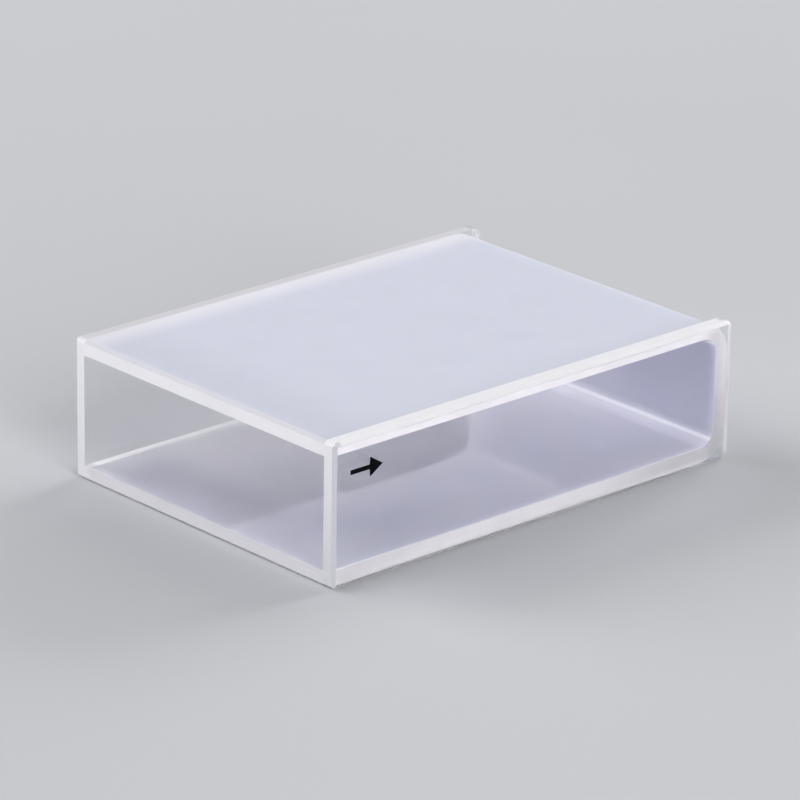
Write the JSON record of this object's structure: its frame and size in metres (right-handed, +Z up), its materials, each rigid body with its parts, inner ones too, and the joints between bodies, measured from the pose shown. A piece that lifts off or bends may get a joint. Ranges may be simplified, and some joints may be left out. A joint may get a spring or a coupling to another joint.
{
  "type": "rectangular quartz cuvette",
  "caption": "Rectangular quartz cuvette, open at one end: a U-shaped frosted body closed by clear front and rear windows.",
  "frame": {"origin": "centre of the frosted side that the cell lies on, on the surface under it", "axes": "+X from the open mouth to the closed end, +Y along the light path from the front window to the rear window, +Z up across the two frosted sides"},
  "size_m": [0.045, 0.0324, 0.0125],
  "materials": {
    "frosted_quartz": "fused silica, fine ground outside and polished inside, translucent white",
    "clear_quartz": "fused silica, both faces polished, edges and bevels ground white",
    "black_print": "thin black fired enamel"
  },
  "bodies": {
    "root": {"u_body": "frosted_quartz", "front_window": "clear_quartz", "rear_window": "clear_quartz"}
  },
  "joints": []
}
